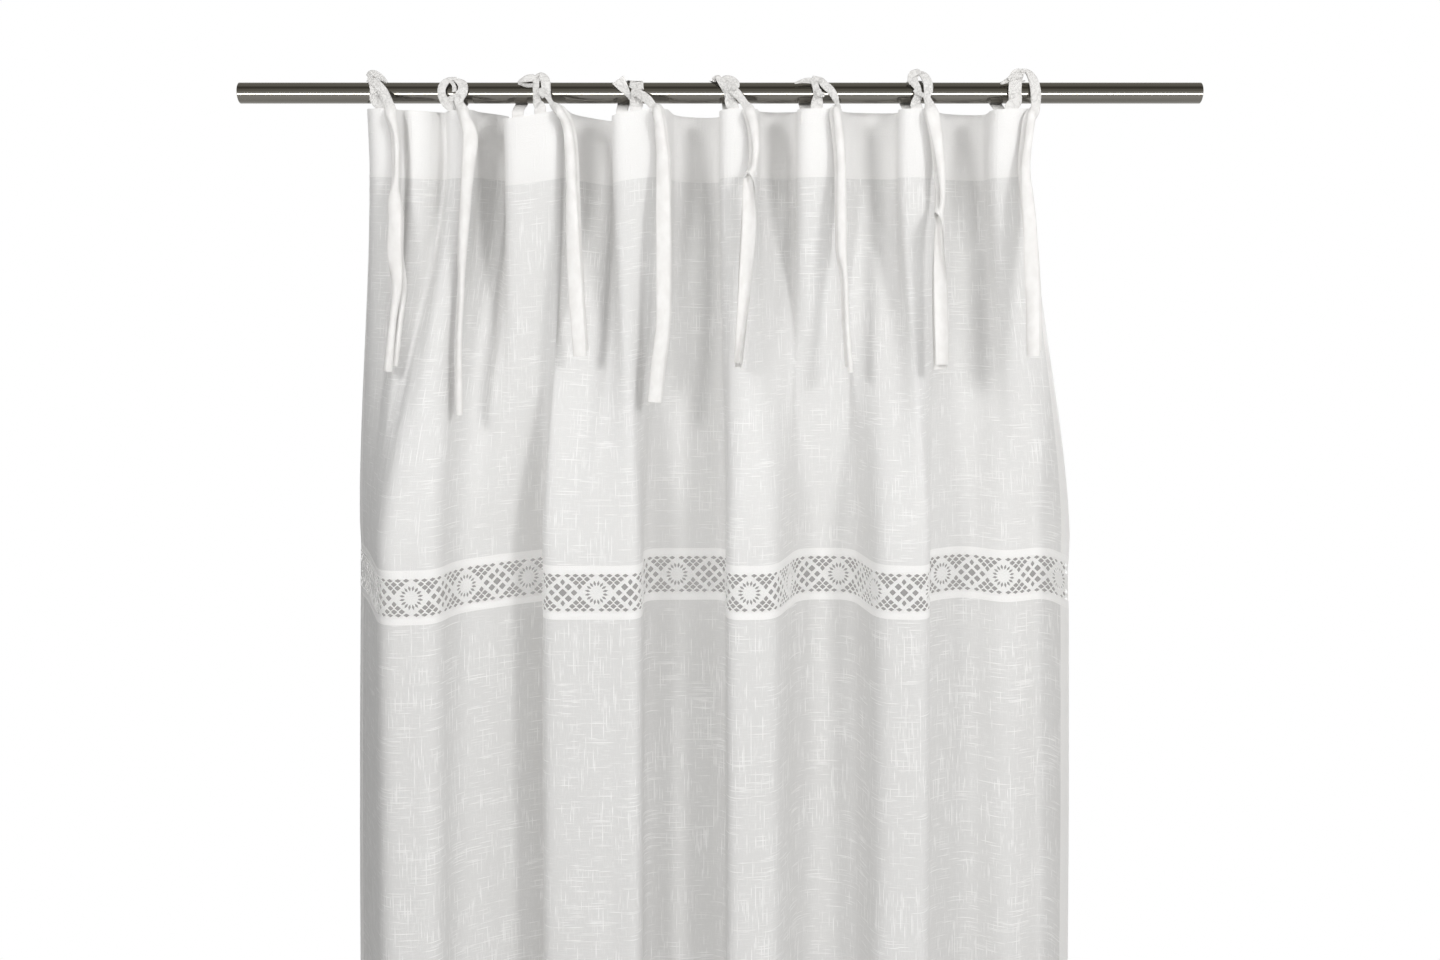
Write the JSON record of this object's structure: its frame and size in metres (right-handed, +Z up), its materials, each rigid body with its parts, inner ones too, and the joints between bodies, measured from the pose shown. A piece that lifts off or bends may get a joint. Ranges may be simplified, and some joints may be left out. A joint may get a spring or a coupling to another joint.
{
  "type": "tie up curtain",
  "caption": "Long white curtain panel with a lace insertion, hung in folds from a steel rod by knotted tape ties.",
  "frame": {"origin": "on the rod's axis, at the middle of the rod's length", "axes": "+Z up, +X along the rod to the viewer's right, +Y away from the viewer, through the curtain's back"},
  "size_m": [1.171, 0.1465, 2.5532],
  "materials": {
    "rod_steel": "satin",
    "upper_cloth": "matt slub cotton",
    "lace": "matt cotton lace",
    "lower_cloth": "matt slub cotton",
    "tape": "matt cotton tape"
  },
  "bodies": {
    "root": {"curtain_rod": "rod_steel", "upper_panel": "upper_cloth", "lace_insertion": "lace", "lower_panel": "lower_cloth", "tie_1": "tape", "tie_2": "tape", "tie_3": "tape", "tie_4": "tape", "tie_5": "tape", "tie_6": "tape", "tie_7": "tape", "tie_8": "tape"}
  },
  "joints": []
}
